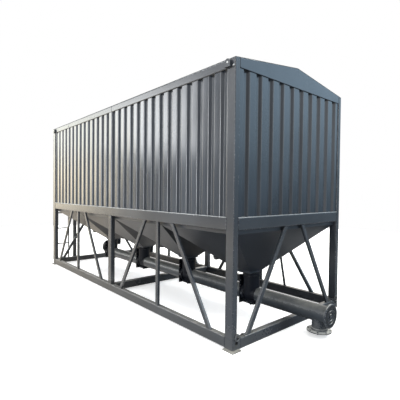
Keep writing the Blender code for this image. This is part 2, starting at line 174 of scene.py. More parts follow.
def tone(r, g, b):
    """A colour given in the 0-255 steps of a screen, as the linear light Blender uses."""
    return tuple((v / 255.0 / 12.92) if v < 10.3 else ((v / 255.0 + 0.055) / 1.055) ** 2.4
                 for v in (r, g, b)) + (1.0,)


print("a mid grey is", [round(v, 3) for v in tone(128, 128, 128)[:3]])

# %% [markdown]
# ## Enamel on steel
# The silo is sprayed in one slate-grey enamel. Up close, such paint has a fine
# orange-peel bump, slow changes of tone where the coats overlap, a dull film of
# cement dust on whatever faces up and near the ground, and lighter, rougher metal
# where edges are rubbed. The hopper paint also turns paler towards the filling end.
# The rounded edges carry a mark, so the rubbing needs no picture: it follows the
# shape. The same pale tone and the same mark also paint light: a lighter top on the
# conveyor, and a highlight on the turned rims of the end bearing. All the greys come
# from this one recipe; the darker tones of the hoppers and inlets are painted shade.

# %% Enamel recipe
# The colour of rubbed edges, and of the painted highlight on the end bearing's turned rims.
WORN_EDGE_AND_HIGHLIGHT = tone(142, 142, 140)


def enamel(name, paint, gloss, dust=0.5, rubbed_and_highlight=0.5, streaks=0.0, wave=0.0, metal=0.0,
           pale_to_filling_end=0.0, settle=0.45, mirror=0.5, soil=(140, 138, 131), low_dust=0.0):
    """Paint on steel. gloss is its roughness and mirror its specular level; dust, streaks and
    low_dust are soil on it, and settle is how flat a face lies before dust stays; set to the
    sides, as on the conveyor, it also paints a lighter top. pale_to_filling_end turns the paint
    paler towards the filling end; rubbed_and_highlight is the wear of its edges and, on turned
    rims, a painted highlight; and wave the sag of its sheet, in metres."""
    finish = bpy.data.materials.new(name)
    finish.use_nodes = True
    desk = Desk(finish.node_tree)
    shader = finish.node_tree.nodes["Principled BSDF"]

    coats = desk.noise(0.9, 3.0)
    mottle = desk.noise(34.0, 5.0, 0.6)
    darker = tuple(v * 0.80 for v in paint[:3]) + (1.0,)
    lighter = tuple(min(1.0, v * 1.22) for v in paint[:3]) + (1.0,)
    colour = desk.blend(desk.ramp(coats, 0.30, 0.70), darker, lighter)
    colour = desk.blend(desk.ramp(mottle, 0.45, 0.85) * 0.35, colour, lighter)

    # Dust lies on what faces up, is splashed up from the ground and cakes at the very foot. On the
    # conveyor, pale from its sides up, this tone is a painted lighter top as well as dust.
    facing = desk.node("ShaderNodeSeparateXYZ", None,
                       {0: desk.node("ShaderNodeNewGeometry", out=1)}, out=2)
    height = desk.axis(2)
    patchy = desk.ramp(desk.noise(7.0, 6.0, 0.65), 0.35, 0.70)
    facing_up = desk.ramp(facing, settle, 0.95) * (0.35 + 0.65 * patchy)
    splash = desk.ramp(height, 0.30, 0.02) * patchy * 0.20
    dust_and_painted_light = (facing_up + splash) * dust + desk.ramp(height, 0.018, 0.011) * 0.8
    if streaks:
        runs = desk.noise(1.0, 4.0, 0.6, (22.0, 22.0, 0.55))
        dust_and_painted_light = dust_and_painted_light + desk.ramp(runs, 0.56, 0.78) * streaks
    if low_dust:
        # Soil tone low on the front side only, short of the discharge end; the back keeps its
        # plain paint.
        front_side_low = desk.ramp(desk.axis(0), 3.3, 2.7) * desk.ramp(desk.axis(1), -0.4, -1.0)
        dust_and_painted_light = dust_and_painted_light + desk.ramp(height, 0.34, 0.14) * front_side_low * (facing_up + 0.3) * low_dust
    # Paler towards the filling end: the paint turns toward the soil tone along the silo.
    if pale_to_filling_end:
        toward_filling_end = desk.ramp(desk.axis(0), 2.8, -1.4)
        dust_and_painted_light = dust_and_painted_light + toward_filling_end * (0.7 + 0.6 * (mottle - 0.5)) * pale_to_filling_end
    dust_and_painted_light = desk.math("MULTIPLY", dust_and_painted_light, 1.0, clamp=True)
    colour = desk.blend(dust_and_painted_light, colour, tone(*soil))

    # Rubbed edges are lighter, rougher and half bare metal. On the turned rims of the end bearing
    # the same mark is a painted highlight.
    edge = desk.node("ShaderNodeAttribute", {"attribute_name": "rubbed_edge_and_rim_highlight"}, out=2)
    wear_and_highlight = edge * desk.ramp(desk.noise(48.0, 6.0, 0.7), 0.50, 0.66) * rubbed_and_highlight
    desk.feed(shader.inputs["Base Color"], desk.blend(wear_and_highlight, colour, WORN_EDGE_AND_HIGHLIGHT))
    dull = gloss + 0.10 * (mottle - 0.5) + 0.06 * (coats - 0.5)
    dull = dull + dust_and_painted_light * 0.35 + wear_and_highlight * 0.15
    desk.feed(shader.inputs["Roughness"], desk.math("MAXIMUM", dull, 0.08))
    desk.feed(shader.inputs["Metallic"], metal + wear_and_highlight * (0.5 * (1.0 - metal)))

    # A fine orange peel, and on large sheets a slow sag under it.
    bump = desk.node("ShaderNodeBump", None,
                     {"Strength": 0.25, "Distance": 0.0006, "Height": desk.noise(260.0, 2.0)})
    if wave:
        sag = desk.noise(1.7, 1.0, 0.4, (1.0, 1.0, 0.6))
        bump = desk.node("ShaderNodeBump", None,
                         {"Strength": 1.0, "Distance": wave, "Height": sag, "Normal": bump})
    desk.feed(shader.inputs["Normal"], bump)
    shader.inputs["IOR"].default_value = 1.55
    shader.inputs["Specular IOR Level"].default_value = mirror
    return finish


# %% The finishes of this silo
FINISH = {
    "frame_paint": enamel("frame_enamel", tone(59, 63, 69), 0.25, dust=0.22, rubbed_and_highlight=0.3,
                          wave=0.004, mirror=0.60, low_dust=0.42),
    "wall_paint": enamel("wall_enamel", tone(52, 58, 66), 0.16, dust=0.15, rubbed_and_highlight=0.04,
                         streaks=0.05, wave=0.010, mirror=0.78),
    # The hoppers take a darker tone than the walls, which is painted shade under the tank.
    "hopper_paint": enamel("hopper_enamel_painted_shade", tone(49, 54, 62), 0.33, dust=0.10, rubbed_and_highlight=0.3,
                           streaks=0.03, wave=0.008, pale_to_filling_end=0.26, soil=(138, 135, 130)),
    # The conveyor is pale from its sides up: cement dust, and a painted lighter top.
    "conveyor_paint": enamel("conveyor_enamel_dust_and_top_light", tone(58, 63, 68), 0.24, dust=0.55,
                             rubbed_and_highlight=0.5, settle=0.0, soil=(128, 128, 122)),
    "drive_paint": enamel("drive_enamel", tone(36, 39, 44), 0.40, dust=0.20, rubbed_and_highlight=0.3,
                          mirror=0.35),
    "ladder_steel": enamel("ladder_enamel", tone(88, 90, 92), 0.36, dust=0.20, rubbed_and_highlight=0.8),
}
ROOF = enamel("roof_enamel", tone(60, 66, 74), 0.42, dust=0.26, rubbed_and_highlight=0.2, streaks=0.06,
              mirror=0.35, soil=(122, 122, 120))
# The inlets take a near-black copy of the conveyor's enamel: painted shade under the hoppers.
INLET_PAINTED_SHADE = enamel("inlet_enamel_painted_shade", tone(16, 20, 28), 0.48, dust=0.06, rubbed_and_highlight=0.7, mirror=0.14)
# Spout and end bearing: heavy pale cement dust, and rims marked fully rubbed, which on the bearing
# also paint its bright rim: a painted highlight.
SPOUT_DUST_AND_HIGHLIGHT = enamel("spout_enamel_dust_and_rim_highlight", tone(50, 55, 62), 0.26, dust=1.4, rubbed_and_highlight=1.0, settle=0.60,
               soil=(205, 205, 200))
# A near-black finish for the disc in the bearing's bore and the thin ring on its face.
NEAR_BLACK_BEARING = enamel("near_black_bearing_enamel", tone(20, 22, 26), 0.45, dust=0.05, rubbed_and_highlight=0.3, mirror=0.4)
BOLT = enamel("zinc_plated_bolts", tone(88, 90, 92), 0.40, dust=0.15, rubbed_and_highlight=0.2, metal=0.5)
BEAD = enamel("painted_weld", tone(56, 60, 67), 0.28, dust=0.20, rubbed_and_highlight=0.0)
PIN = enamel("galvanised_pins", tone(186, 188, 188), 0.30, dust=0.05, rubbed_and_highlight=0.1, metal=0.25)
# A near-white tone for the beads along the waist rails: a painted highlight of their top edges.
RAIL_TOP_HIGHLIGHT = enamel("rail_top_painted_highlight", tone(176, 180, 182), 0.40, dust=0.10, rubbed_and_highlight=0.0)
print("finishes", sorted(FINISH))

# %% [markdown]
# ## From a shape to a finished piece
# Every piece ends the same way: its faces point outwards, it is shaded smooth but
# for its real corners, and it rides on the silo's one body. Flat plates beside a
# round edge need their shading weighted by area, or the whole plate would look
# pillowy.

# %% Finish a piece
made = []


def keep(bm, name, slot, stands_for=(), finish=None, crease=34.0):
    """Make the bmesh a finished piece; crease is the angle from which an edge stays sharp."""
    bmesh.ops.recalc_face_normals(bm, faces=bm.faces[:])
    mesh = bpy.data.meshes.new(name)
    bm.to_mesh(mesh)
    bm.free()
    piece = bpy.data.objects.new(name, mesh)
    bpy.context.scene.collection.objects.link(piece)
    mesh.materials.append(finish or FINISH[slot])
    mesh.shade_smooth()
    mesh.set_sharp_from_angle(angle=math.radians(crease))
    piece.modifiers.new("flat_plates_stay_flat", "WEIGHTED_NORMAL").keep_sharp = True
    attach(piece, "root")
    if stands_for:
        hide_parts(*stands_for)
    made.append(piece)


def engineering_copy(node):
    """A solid of the engineering model, with its triangles joined into whole faces."""
    bm = bmesh.new()
    bm.from_mesh(nodes[node].data)
    bmesh.ops.remove_doubles(bm, verts=bm.verts, dist=0.00002)
    bmesh.ops.recalc_face_normals(bm, faces=bm.faces[:])
    bmesh.ops.dissolve_limit(bm, angle_limit=math.radians(0.8), verts=bm.verts, edges=bm.edges)
    return bm


# %% Round the edges of a shape
def rubbed_mark(bm):
    """The layer in which a face is 1 where its paint is rubbed and where a turned rim carries a
    painted highlight, and 0 elsewhere.
    """
    return bm.faces.layers.float.get("rubbed_edge_and_rim_highlight") or bm.faces.layers.float.new("rubbed_edge_and_rim_highlight")


def soften(bm, edges, radius, steps=2, clamp=True):
    """Bevel some edges, mark the new faces as rubbed and return them."""
    mark = rubbed_mark(bm)
    faces = bmesh.ops.bevel(bm, geom=edges, offset=radius, offset_type="OFFSET",
                            segments=steps, profile=0.5, affect="EDGES",
                            clamp_overlap=clamp, material=-1)["faces"]
    for face in faces:
        face[mark] = 1.0
    return faces


def round_edges(bm, radius, steps=3, least=50.0, most=180.0, length=0.0, inward=False,
                upright=False):
    """Soften the edges that turn by least to most degrees and are at least so long:
    outward edges or, with inward, the corners. With upright, only those that stand."""
    chosen = []
    for edge in bm.edges:
        if len(edge.link_faces) != 2 or edge.calc_length() < length:
            continue
        rise = abs(edge.verts[0].co.z - edge.verts[1].co.z)
        if upright and rise < edge.calc_length() * 0.99:
            continue
        turn = math.degrees(edge.calc_face_angle_signed(0.0))
        if least < (-turn if inward else turn) < most:
            chosen.append(edge)
    soften(bm, chosen, radius, steps, clamp=not upright)
    return len(chosen)


# %% [markdown]
# ## The frame
# Posts, rails and sills of a container frame are folded or rolled steel, so every
# long edge has a small radius. That radius is what draws the thin bright line along
# each bar in the photo. The engineering bar is copied and its edges are bevelled,
# which keeps each bar exactly where the model has it.

# %% Bars of the frame
def bar_radius(name):
    """The edge radius of a bar of the frame, and 0 for every other piece."""
    if name.endswith(("_sill", "_rail", "_mid_post")):
        return 0.010
    if "brace" in name or "quarter_post" in name:
        return 0.005
    return 0.0015 if name.endswith("_tie_bar") else 0.0


rounded = 0
for name in sorted(nodes):
    if bar_radius(name):
        bar = engineering_copy(name)
        rounded += round_edges(bar, bar_radius(name))
        keep(bar, name + "_steel", "frame_paint", (name,))
for name in ("drive_gable_plate", "discharge_gable_plate"):
    plate = engineering_copy(name)
    rounded += round_edges(plate, 0.005)
    keep(plate, name + "_steel", "wall_paint", (name,))
print("rounded edges on bars", rounded)

# %% Corner posts with their blocks, foot plates and lugs
POST_RADIUS, BLOCK_RADIUS = 0.009, 0.003
for name in sorted(n for n in nodes if n.startswith("corner_post")):
    post = engineering_copy(name)
    count = round_edges(post, POST_RADIUS, length=1.0, upright=True)
    count += round_edges(post, BLOCK_RADIUS, steps=2, length=0.055)
    keep(post, name + "_steel", "frame_paint", (name,))
    print(name, "edges", count)

# %% [markdown]
# ## The ribbed walls
# The walls are one sheet pressed into upright grooves. A press can't make a sharp
# bend in 4 mm sheet, and it is the round bend that catches the sky. The outside of
# a bend gets the larger radius and the inside, where the tool pressed, the smaller.
# The enamel gets a slow wave as well, because a large sheet is never truly flat and
# its reflections wander.

# %% Pressed wall sheets
OUTSIDE_BEND, INSIDE_BEND = 0.010, 0.004
BENDS = {"least": 20.0, "most": 60.0, "length": 1.0, "upright": True}
for name in ("front_wall", "back_wall", "drive_end_wall", "discharge_end_wall"):
    sheet = engineering_copy(name)
    bends = round_edges(sheet, OUTSIDE_BEND, steps=4, **BENDS)
    bends += round_edges(sheet, INSIDE_BEND, steps=3, inward=True, **BENDS)
    keep(sheet, name + "_sheet", "wall_paint", (name,), crease=60.0)
    print(name, "bends", bends)

# %% [markdown]
# ## The roof
# Nothing of the roof shows in the photo but its edge, so it is finished as such
# roofs are: lapped sheets with a low folded seam at each lap and a row of sheet
# screws on both sides of it. The seams stop short of the ridge, so that the roof
# grows no taller.

# %% Roof sheet and its seams
roof = engineering_copy("roof")
round_edges(roof, 0.0015, steps=2)
keep(roof, "roof_sheet", "wall_paint", ("roof",), finish=ROOF)

ROOF_SHEET, SHEET_LENGTH = 0.004, 1.010  # thickness, and the way from lap to lap
LAPS = [MIDDLE + k * SHEET_LENGTH for k in range(-2, 3)]
half_wide = roof_high.y
fall = math.atan2(roof_high.z - roof_low.z - ROOF_SHEET, half_wide)
eave = roof_high.z - half_wide * math.tan(fall)


def box_between(bm, low, high):
    """A box between two corners; returns its vertices."""
    corner = [Vector(low), Vector(high)]
    cube = bmesh.ops.create_cube(bm, size=1.0)["verts"]
    bmesh.ops.scale(bm, vec=corner[1] - corner[0], verts=cube)
    bmesh.ops.translate(bm, vec=(corner[0] + corner[1]) / 2.0, verts=cube)
    return cube


seams = bmesh.new()
for side in (-1.0, 1.0):
    slope = Matrix.Translation((0.0, 0.0, roof_high.z)) @ Matrix.Rotation(-side * fall, 4, "X")
    for x in LAPS:
        strip = box_between(seams, (x - 0.014, 0.16, -0.001),
                            (x + 0.014, half_wide - 0.012, 0.010))
        for v in strip:
            v.co.y *= side
        bmesh.ops.transform(seams, matrix=slope, verts=strip)
round_edges(seams, 0.003, steps=2)
keep(seams, "roof_lap_seams", "wall_paint", finish=ROOF)
print("roof falls", round(math.degrees(fall), 2), "degrees to", round(eave, 3))

# %% [markdown]
# ## Hex bolts and screws
# Bolts are left out of the engineering model and are added here. One bolt is a
# washer and a six-sided head with its corners taken off, about thirty faces, so a
# ring of them costs little. The ring is placed by turning the same bolt.

# %% One bolt, and a ring of them
def turned_to(axis):
    """The turn that lays the z axis along another one."""
    return Vector((0.0, 0.0, 1.0)).rotation_difference(Vector(axis)).to_matrix().to_4x4()


def bolt(bm, spot, axis, size=0.012):
    """A washer and hex head standing on spot, pointing along axis; size is the thread."""
    verts = []
    # The washer, the head and its bevelled top: sides, then heights and radii in threads.
    for sides, low, high, radius, top_radius in (
            (14, 0.0, 0.20, 1.05, 1.00), (6, 0.20, 0.70, 0.88, 0.88), (6, 0.70, 0.84, 0.88, 0.66)):
        part = bmesh.ops.create_cone(bm, cap_ends=True, segments=sides, radius1=size * radius,
                                     radius2=size * top_radius, depth=size * (high - low))["verts"]
        bmesh.ops.translate(bm, vec=(0.0, 0.0, size * (low + high) / 2.0), verts=part)
        verts += part
    put = Matrix.Translation(Vector(spot)) @ turned_to(axis)
    bmesh.ops.transform(bm, matrix=put, verts=verts)


def ring_of_bolts(bm, centre, axis, radius, count, size=0.012):
    """Bolts on a circle; the first stands half a step round from its start."""
    lie = turned_to(axis)
    for k in range(count):
        a = 2.0 * math.pi * (k + 0.5) / count
        out = lie @ Vector((radius * math.cos(a), radius * math.sin(a), 0.0))
        bolt(bm, Vector(centre) + out, axis, size)


screws = bmesh.new()
for side in (-1.0, 1.0):
    for x in LAPS:
        for off in (-0.030, 0.030):
            for n in range(5):
                y = side * (0.22 + 0.225 * n)
                z = roof_high.z - abs(y) * math.tan(fall)
                bolt(screws, (x + off, y, z), (0.0, side * math.sin(fall), 1.0), 0.006)
keep(screws, "roof_sheet_screws", "ladder_steel", finish=BOLT)
print("roof screws", 2 * len(LAPS) * 2 * 5)

# %% [markdown]
# ## The hoppers
# Each hopper is four plates welded along the hips. A weld is a row of small
# overlapping drops, so a bead is a thin six-sided rod cut into short lengths whose
# rings swell and shrink in turn. The same bead runs along every joint below.

# %% A weld bead between two points
def lay_in(bm, part, matrix):
    """Move a small bmesh into place and add it to a larger one."""
    bmesh.ops.transform(part, matrix=matrix, verts=part.verts[:])
    bmesh.ops.recalc_face_normals(part, faces=part.faces[:])
    carrier = bpy.data.meshes.new("carrier")
    part.to_mesh(carrier)
    part.free()
    bm.from_mesh(carrier)
    bpy.data.meshes.remove(carrier)


def bead(bm, start, end, radius=0.004, step=0.010):
    """A weld between two points, with one swelling every two steps."""
    start, end = Vector(start), Vector(end)
    run = (end - start).length
    rod = bmesh.new()
    bmesh.ops.create_cone(rod, cap_ends=True, segments=6, radius1=radius, radius2=radius,
                          depth=run)
    sides = [e for e in rod.edges if abs(e.verts[0].co.z - e.verts[1].co.z) > run * 0.9]
    pieces = max(2, int(run / step))
    bmesh.ops.subdivide_edges(rod, edges=sides, cuts=pieces - 1)
    for v in rod.verts:
        n = round((v.co.z / run + 0.5) * pieces)
        swell = 0.78 + 0.22 * (n % 2) + 0.10 * math.sin(n * 2.4)
        v.co.x *= swell
        v.co.y *= swell
    along = turned_to((end - start).normalized())
    lay_in(bm, rod, Matrix.Translation((start + end) / 2.0) @ along)


# %% Hopper plates and the welds on their hips
OUTLET = 0.130  # half the width of a hopper's square mouth
HIP_WELD = (0.005, 0.014)  # radius and step of its beads
hips = bmesh.new()
hoppers = []
for k in range(1, 5):
    name = "hopper_" + str(k)
    shell = engineering_copy(name)
    low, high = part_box(name)
    rim = [v.co.copy() for v in shell.verts
           if abs(v.co.y) > high.y - 0.005 and v.co.z < high.z - 0.01]
    mouth = [v.co.copy() for v in shell.verts
             if abs(abs(v.co.y) - OUTLET) < 0.001 and v.co.z > low.z + 0.01]
    mouth.sort(key=lambda p: (round(p.x, 2), p.y))
    mouth_x = sum(m.x for m in mouth) / 4.0
    for foot in mouth:
        head = min(rim, key=lambda p: (p - foot).length)
        out = Vector((foot.x - mouth_x, foot.y, 0.0)).normalized() * 0.001
        bead(hips, foot + out, head + out, *HIP_WELD)
    for a, b in ((0, 1), (0, 2), (1, 3), (2, 3)):
        bead(hips, mouth[a], mouth[b], *HIP_WELD)
    round_edges(shell, 0.004, least=20.0)
    keep(shell, name + "_plates", "hopper_paint", (name,))
    hoppers.append((mouth_x, low, high))
keep(hips, "hopper_weld_beads", "hopper_paint", finish=BEAD)
print("hopper mouths at x", [round(h[0], 3) for h in hoppers])

# %% [markdown]
# ## The screw conveyor
# The conveyor is a stock 219 mm tube. Turned parts like tubes, flanges and necks
# are closed cones with equal ends, made with many sides so that they look round,
# and their rims are bevelled. The inlet sections are built up from the same forms
# as in the engineering model: tube, round neck, ring, square plate, clamp band,
# bracket, hatch and hinge.

# %% A round bar or disc with softened rims
def drum(bm, axis, centre, radius, low, high, sides=64, rim=0.002):
    """A round bar from low to high along an axis; centre is its place across that axis."""
    body = bmesh.ops.create_cone(bm, cap_ends=True, segments=sides, radius1=radius,
                                 radius2=radius, depth=high - low)["verts"]
    rims = {e for v in body for e in v.link_edges
            if abs(e.verts[0].co.z - e.verts[1].co.z) < 1e-6}
    if rim:
        faces = soften(bm, list(rims), rim)
        body = list({v for f in faces for v in f.verts} | {v for v in body if v.is_valid})
    way = {"x": (1.0, 0.0, 0.0), "y": (0.0, 1.0, 0.0), "z": (0.0, 0.0, 1.0)}[axis]
    middle = (low + high) / 2.0
    spot = {"x": (middle, centre[0], centre[1]), "y": (centre[0], middle, centre[1]),
            "z": (centre[0], centre[1], middle)}[axis]
    bmesh.ops.transform(bm, matrix=Matrix.Translation(spot) @ turned_to(way), verts=body)
    return body


def block(bm, low, high, radius=0.003, steps=2):
    """A box with rounded edges."""
    cube = box_between(bm, low, high)
    faces = soften(bm, list({e for v in cube for e in v.link_edges}), radius, steps)
    return list({v for f in faces for v in f.verts})


# %% Conveyor tubes and the end flange
TUBE_RADIUS = 0.1095
TUBE_HEIGHT = GROUND + 0.265
TUBE_LINE = (0.0, TUBE_HEIGHT)
END_FLANGE = 0.150
for k in range(1, 5):
    name = "conveyor_tube_" + str(k)
    low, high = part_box(name)
    tube = bmesh.new()
    drum(tube, "x", TUBE_LINE, TUBE_RADIUS, low.x, high.x, 96, 0.0015)
    if k == 4:
        drum(tube, "x", TUBE_LINE, END_FLANGE, high.x - 0.014, high.x, 96)
    keep(tube, name + "_shell", "conveyor_paint", (name,))
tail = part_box("conveyor_tube_4")[1].x
print("conveyor ends at", round(tail, 3))

# %% Inlet sections under the hoppers
INLET_LENGTH = 0.268
SEAT = 0.0003  # each section ends this far before the tube that follows
NECK, NECK_RING, BAND = 0.122, 0.1335, 0.1265  # radii
BRACKET = 0.134  # half the width of the bracket plate
inlet_bolts = bmesh.new()
inlet_beads = bmesh.new()


def inlet_body(start, mouth, top_face, actuated):
    """Tube, neck with two rings, mouth plate, clamp band, bracket, tie, hatch and hinge."""
    centre = start + INLET_LENGTH / 2.0
    neck = (centre, 0.0)
    inlet = bmesh.new()
    drum(inlet, "x", TUBE_LINE, TUBE_RADIUS, start, start + INLET_LENGTH, 96, 0.0015)
    drum(inlet, "z", neck, NECK, TUBE_HEIGHT, top_face - 0.004, 72, 0.0015)
    for z in (GROUND + 0.5335, GROUND + 0.5490):
        drum(inlet, "z", neck, NECK_RING, z, z + 0.013, 72)
    block(inlet, (mouth - OUTLET, -OUTLET, top_face - 0.010), (mouth + OUTLET, OUTLET, top_face),
          0.002)
    drum(inlet, "x", TUBE_LINE, BAND, start + 0.008, start + 0.074, 96, 0.003)
    drum(inlet, "x", TUBE_LINE, BAND + 0.0035, start + 0.036, start + 0.046, 96)
    block(inlet, (start, -BRACKET, TUBE_HEIGHT - 0.152),
          (start + 0.012, BRACKET, GROUND + 0.545))
    block(inlet, (start + 0.004, -0.030, GROUND + 0.470), (centre, 0.030, GROUND + 0.530))
    block(inlet, (start + 0.003, -0.066, TUBE_HEIGHT - 0.148),
          (centre + 0.095, 0.066, TUBE_HEIGHT - 0.080), 0.004)
    block(inlet, (start + 0.016, -0.078, TUBE_HEIGHT - 0.132),
          (centre + 0.088, 0.078, TUBE_HEIGHT - 0.124), 0.002)
    drum(inlet, "y", (centre + 0.020, TUBE_HEIGHT - 0.152), 0.016, -0.050, 0.050, 24)
    if actuated:
        cover = 0.205  # outer face of the valve's drive
        block(inlet, (centre - 0.040, 0.100, GROUND + 0.440),
              (centre + 0.040, cover, GROUND + 0.570), 0.008, 3)
        drum(inlet, "y", (centre, GROUND + 0.505), 0.030, cover - 0.005, cover + 0.007, 32, 0.003)
        for dz in (-0.048, 0.048):
            for dx in (-0.026, 0.026):
                bolt(inlet_bolts, (centre + dx, cover, GROUND + 0.505 + dz), (0, 1, 0), 0.006)
    return inlet


for k in range(1, 5):
    name = "conveyor_inlet_" + str(k)
    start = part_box("conveyor_tube_" + str(k))[0].x - SEAT - INLET_LENGTH
    mouth, top_face = hoppers[k - 1][0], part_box(name)[1].z
    keep(inlet_body(start, mouth, top_face, k < 3), name + "_body", "conveyor_paint", (name,),
         finish=INLET_PAINTED_SHADE)
    for side in (-1.0, 1.0):
        for dx in (0.030, 0.110, 0.190):
            bolt(inlet_bolts, (start + dx, side * 0.0725, TUBE_HEIGHT - 0.124), (0, 0, 1), 0.008)
        for y, dz in ((0.116, 0.117), (0.116, 0.190), (0.105, -0.120)):
            bolt(inlet_bolts, (start + 0.012, side * y, TUBE_HEIGHT + dz), (1, 0, 0), 0.010)
        lug = sorted((side * BAND, side * (BAND + 0.012)))
        block(inlet_beads, (start + 0.026, lug[0], TUBE_HEIGHT - 0.016),
              (start + 0.056, lug[1], TUBE_HEIGHT + 0.016))
    square = [(mouth + a * OUTLET, b * OUTLET, top_face + 0.002)
              for a, b in ((-1, -1), (1, -1), (1, 1), (-1, 1))]
    for a, b in zip(square, square[1:] + square[:1]):
        bead(inlet_beads, a, b)
keep(inlet_bolts, "inlet_bolts", "conveyor_paint", finish=BOLT)
keep(inlet_beads, "inlet_weld_beads_and_clamp_lugs", "conveyor_paint", finish=BEAD)
print("inlet sections", 4, "with", INLET_LENGTH, "m of tube each")

# %% End bearing with its bolts and shaft
def turned(bm, outline, centre, sides=96):
    """Turn a closed outline of (radius, distance along x) points once round the tube's axis."""
    ring = bmesh.new()
    loop = bmesh.ops.create_circle(ring, cap_ends=False, segments=len(outline),
                                   radius=0.1)["verts"]
    for v, (radius, along) in zip(loop, outline):
        v.co = Vector((radius, 0.0, along))
    bmesh.ops.spin(ring, geom=ring.verts[:] + ring.edges[:], cent=(0, 0, 0), axis=(0, 0, 1),
                   dvec=(0, 0, 0), angle=math.radians(360.0), steps=sides, use_merge=True,
                   use_normal_flip=False, use_duplicate=False)
    ring.normal_update()
    mark = rubbed_mark(ring)
    # The chamfered rims get the rubbed mark; on the end bearing this paints a highlight arc as
    # well as wear.
    for face in ring.faces:
        if 0.15 < abs(face.normal.z) < 0.97:
            face[mark] = 1.0
    lay_in(bm, ring, Matrix.Translation(centre) @ turned_to((1, 0, 0)))


tube_end = (tail, 0.0, TUBE_HEIGHT)
bearing = bmesh.new()
drum(bearing, "x", TUBE_LINE, END_FLANGE, tail + 0.0003, tail + 0.0060, 96, 0.001)
turned(bearing, [(END_FLANGE, 0.0055), (END_FLANGE, 0.0085), (0.1460, 0.0125),
                 (0.0960, 0.0125), (0.0930, 0.0100), (0.0920, 0.0055)], tube_end)
turned(bearing, [(0.050, 0.0055), (0.053, 0.0115), (0.068, 0.0115), (0.073, 0.0055)], tube_end)
drum(bearing, "x", TUBE_LINE, 0.030, tail + 0.005, tail + 0.0165, 40)
keep(bearing, "conveyor_end_bearing_plate", "conveyor_paint", ("conveyor_end_bearing",),
     finish=SPOUT_DUST_AND_HIGHLIGHT)
seal = bmesh.new()
turned(seal, [(0.100, 0.0120), (0.100, 0.0133), (0.130, 0.0133), (0.130, 0.0120)], tube_end)
drum(seal, "x", TUBE_LINE, 0.0925, tail + 0.0050, tail + 0.0068, 72, 0.0)
keep(seal, "conveyor_end_seal_ring", "conveyor_paint", finish=NEAR_BLACK_BEARING)
bearing_bolts = bmesh.new()
for dx, way, radius, count, size in ((0.0120, 1, 0.138, 12, 0.0060), (0.0066, 1, 0.082, 4, 0.009),
                                     (-0.0140, -1, 0.124, 12, 0.0065)):
    ring_of_bolts(bearing_bolts, (tail + dx, 0.0, TUBE_HEIGHT), (way, 0, 0), radius, count, size)
bolt(bearing_bolts, (tail - 0.048, -0.0790, TUBE_HEIGHT + 0.0755), (0.0, -0.72, 0.69), 0.010)
keep(bearing_bolts, "end_bearing_bolts", "conveyor_paint", finish=BOLT)
print("bearing at", round(tail, 3))

# %% Discharge spout with its ring flange
low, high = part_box("discharge_spout")
spout_x = (low.x + high.x) / 2.0
spout = engineering_copy("discharge_spout")
round_edges(spout, 0.002, steps=2, least=60.0, length=0.004)
keep(spout, "discharge_spout_body", "conveyor_paint", ("discharge_spout",), finish=SPOUT_DUST_AND_HIGHLIGHT)
spout_bolts = bmesh.new()
for z, way in ((low.z + 0.014, 1), (low.z, -1)):
    ring_of_bolts(spout_bolts, (spout_x, 0.0, z), (0, 0, way), 0.134, 8)
keep(spout_bolts, "spout_flange_bolts", "conveyor_paint", finish=BOLT)
print("spout at x", round(spout_x, 3))

# %% [markdown]
# ## The drive
# At the far end a gearbox turns the screw. Between the bars one sees a round
# housing: two rims with a dark gap between them. It is built as a gear case, a
# motor drum with cooling ribs, and a cowl with a ring grille on the side that the
# photo doesn't show, as such motors have.

# %% Gearbox, motor and cowl
low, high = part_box("drive_unit")
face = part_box("conveyor_inlet_1")[0].x
axle = TUBE_HEIGHT + 0.108
motor_line = (0.0, axle)
RIM, MOTOR = 0.158, 0.138  # radii
drive = bmesh.new()
drum(drive, "x", TUBE_LINE, 0.128, face - 0.085, face - 0.0003, 72, 0.006)
drum(drive, "x", TUBE_LINE, 0.136, face - 0.030, face - 0.012, 72, 0.003)
block(drive, (face - 0.085, -0.110, TUBE_HEIGHT), (face - 0.016, 0.110, TUBE_HEIGHT + 0.150),
      0.010, 3)
drum(drive, "x", motor_line, RIM, face - 0.046, face - 0.024, 96, 0.006)
drum(drive, "x", motor_line, MOTOR, face - 0.092, face - 0.044, 72, 0.001)
drum(drive, "x", motor_line, RIM, face - 0.130, face - 0.090, 96, 0.009)

# %% Cooling ribs, terminal box and grille
RIBS = 28
for k in range(RIBS):
    rib = box_between(drive, (face - 0.092, -0.0020, 0.130), (face - 0.044, 0.0020, 0.151))
    spoke = Matrix.Rotation(2.0 * math.pi * k / RIBS, 4, "X")
    bmesh.ops.transform(drive, matrix=Matrix.Translation((0.0, 0.0, axle)) @ spoke, verts=rib)
block(drive, (face - 0.112, 0.128, axle - 0.030), (face - 0.030, 0.212, axle + 0.052), 0.006, 3)
block(drive, (face - 0.114, 0.206, axle - 0.032), (face - 0.028, 0.216, axle + 0.054))
drum(drive, "z", (face - 0.070, 0.172), 0.013, axle - 0.052, axle - 0.026, 24)
grille = Matrix.Translation((face - 0.1305, 0.0, axle)) @ turned_to((1, 0, 0))
for radius in (0.040, 0.066, 0.092, 0.118):
    hoop = bmesh.ops.create_cone(drive, cap_ends=False, segments=48, radius1=radius,
                                 radius2=radius, depth=0.004)
    walls = list({f for v in hoop["verts"] for f in v.link_faces})
    thick = bmesh.ops.solidify(drive, geom=walls, thickness=0.005)
    loop = list({v for f in walls for v in f.verts} |
                {g for g in thick["geom"] if isinstance(g, bmesh.types.BMVert)})
    bmesh.ops.transform(drive, matrix=grille, verts=loop)
keep(drive, "drive_unit_housing", "drive_paint", ("drive_unit",))
drive_bolts = bmesh.new()
ring_of_bolts(drive_bolts, (face - 0.030, 0.0, TUBE_HEIGHT), (-1, 0, 0), 0.131, 8, 0.008)
ring_of_bolts(drive_bolts, (face - 0.024, 0.0, axle), (1, 0, 0), 0.146, 10, 0.008)
